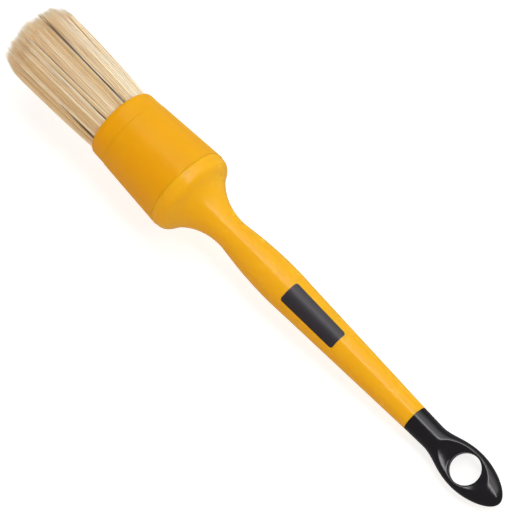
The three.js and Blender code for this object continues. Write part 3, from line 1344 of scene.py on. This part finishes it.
@dataclass(frozen=True)
class Softbox:
    """A soft lamp, whose light is even over its face.

    Leans are in degrees from straight above the brush, to the side and along it. The size and the distance
    are in metres. A lamp that isn't mirrored lights the brush but doesn't show in what it reflects.
    """

    name: str
    lean_side: float
    lean_along: float
    length: float
    width: float
    brightness: float
    colour: str = "#FFFFFF"
    mirrored: bool = True
    distance: float = 0.8

    def build(self, axes: BrushAxes, target: Vector) -> None:
        """Hangs the lamp so that it faces the target, its length along the brush.

        Args:
            axes: The brush's frame.
            target: The place that the lamp faces.
        """
        lamp = bpy.data.lights.new(self.name, "AREA")
        lamp.shape = "RECTANGLE"
        lamp.size, lamp.size_y = self.length, self.width
        lamp.energy = self.brightness * math.pi * self.length * self.width
        lamp.color = linear(self.colour)[:3]
        to_side, to_eye = (math.tan(math.radians(lean)) for lean in (self.lean_side, self.lean_along))
        towards = (axes.up + axes.side * to_side + axes.along * to_eye).normalized()
        along = (axes.along - towards * axes.along.dot(towards)).normalized()
        made = bpy.data.objects.new(self.name, lamp)
        made.matrix_world = placed(along, towards.cross(along), towards, target + towards * self.distance)
        made.visible_glossy = self.mirrored
        bpy.context.scene.collection.objects.link(made)


def placed(right: Vector, up: Vector, back: Vector, place: Vector) -> Matrix:
    """The matrix of a thing from its own three directions and its place.

    Args:
        right, up, back: The thing's own three directions.
        place: Where it stands.
    Returns:
        The matrix.
    """
    turn = Matrix((right, up, back)).transposed().to_4x4()
    turn.translation = place
    return turn


@dataclass
class Studio:
    """A pale floor and wall, three soft lamps on one side, a warm fill on the other, and the camera.

    The middle is the place on the brush that the camera looks at, in millimetres. The camera's distance, the
    floor and the wall are in metres.
    """

    middle_station: float = 78.2
    middle_side: float = 0.66
    view_lean: float = math.radians(15.7)
    roll: float = math.radians(45.19)
    distance: float = 1.244
    focal_length: float = 225.0
    sensor: float = 36.0
    clip: tuple[float, float] = (0.05, 30.0)
    floor_reach: float = 6.0
    floor_gap: float = 0.0002
    wall_height: float = 6.0
    wall_sides: int = 48
    surround: float = 0.2
    paper: Finish = StudioPaper("studio_paper", "#A8A8A7", "#FFFFFF", 0.9)
    lamps: tuple[Softbox, ...] = (
        Softbox("strip_lamp", 22.0, 8.0, 1.3, 0.13, 4.4),
        Softbox("key_lamp", 36.0, 0.0, 1.3, 0.62, 1.05),
        Softbox("side_lamp", 46.0, 0.0, 1.3, 1.04, 0.68),
        Softbox("fill_lamp", -55.0, -5.0, 1.3, 1.0, 0.85, "#FFD8B0", mirrored=False),
    )

    def sheet(self, name: str, corners: list[tuple[float, ...]], faces: list[tuple[int, ...]],
              lights_brush: bool) -> None:
        """Makes one sheet of the studio's paper, which never shows in what the brush mirrors.

        Args:
            name: The sheet's name.
            corners: Its corners, in metres.
            faces: Its faces, as corner numbers.
            lights_brush: Whether the light that the sheet throws back reaches the brush.
        """
        mesh = bpy.data.meshes.new(name)
        mesh.from_pydata(corners, [], faces)
        mesh.materials.append(self.paper.material())
        made = bpy.data.objects.new(name, mesh)
        bpy.context.scene.collection.objects.link(made)
        made.visible_glossy = False
        made.visible_diffuse = lights_brush
        made.visible_shadow = lights_brush

    def papers(self) -> None:
        """Lays the floor that the brush rests on, and hangs a pale wall all round it."""
        sides = self.wall_sides
        turns = [2 * math.pi * i / sides for i in range(sides)]
        rim = [(self.floor_reach * math.cos(turn), self.floor_reach * math.sin(turn)) for turn in turns]
        low, high = ([(x, y, height) for x, y in rim] for height in (-self.floor_gap, self.wall_height))
        self.sheet("floor", low, [tuple(range(sides))], True)
        panels = [(i, (i + 1) % sides, (i + 1) % sides + sides, i + sides) for i in range(sides)]
        self.sheet("wall", low + high, panels, False)

    def air(self) -> None:
        """Lights the scene evenly from all round."""
        world = bpy.data.worlds.new("surround")
        world.use_nodes = True
        tree = world.node_tree
        tree.nodes.clear()
        glow = add_node(tree, "ShaderNodeBackground", inputs={
            "Color": linear("#FFFFFF"), "Strength": self.surround})
        add_node(tree, "ShaderNodeOutputWorld", inputs={"Surface": glow.outputs["Background"]})
        bpy.context.scene.world = world

    def camera(self, axes: BrushAxes, target: Vector) -> None:
        """Places the camera above the brush, leaning towards its eye and turned so that it lies diagonally.

        Args:
            axes: The brush's frame.
            target: The place that the camera looks at.
        """
        lens = bpy.data.cameras.new("camera")
        lens.lens, lens.sensor_width = self.focal_length, self.sensor
        lens.clip_start, lens.clip_end = self.clip
        back = axes.along * math.sin(self.view_lean) + axes.up * math.cos(self.view_lean)
        across = axes.along * math.cos(self.view_lean) - axes.up * math.sin(self.view_lean)
        right = across * math.cos(self.roll) + axes.side * math.sin(self.roll)
        up = axes.side * math.cos(self.roll) - across * math.sin(self.roll)
        made = bpy.data.objects.new("camera", lens)
        made.matrix_world = placed(right, up, back, target + back * self.distance)
        bpy.context.scene.collection.objects.link(made)
        bpy.context.scene.camera = made

    def build(self, axes: BrushAxes) -> None:
        """Sets up the whole studio round the brush.

        Args:
            axes: The brush's frame.
        """
        target = axes.at(self.middle_station, self.middle_side)
        self.papers()
        self.air()
        for lamp in self.lamps:
            lamp.build(axes, target)
        self.camera(axes, target)
        bpy.context.scene.view_settings.view_transform = "Standard"


# The station of the bristles' hinge, as the CAD model has it.
PIVOT_STATION = -16.0


def main() -> None:
    """Builds the studio, then the brush from the bristles to the eye."""
    logging.basicConfig(level=logging.INFO, format="%(name)s: %(message)s")
    axes = BrushAxes.from_record(frame["record"], frame["joints"][0], PIVOT_STATION)
    Studio().build(axes)
    shop = Workshop(axes)
    BristleBundle().build(shop)
    FerruleAssembly().build(shop)
    Handle().build(shop)
    EndCap().build(shop)
    HiddenFixings().build()


if __name__ == "__main__":
    main()
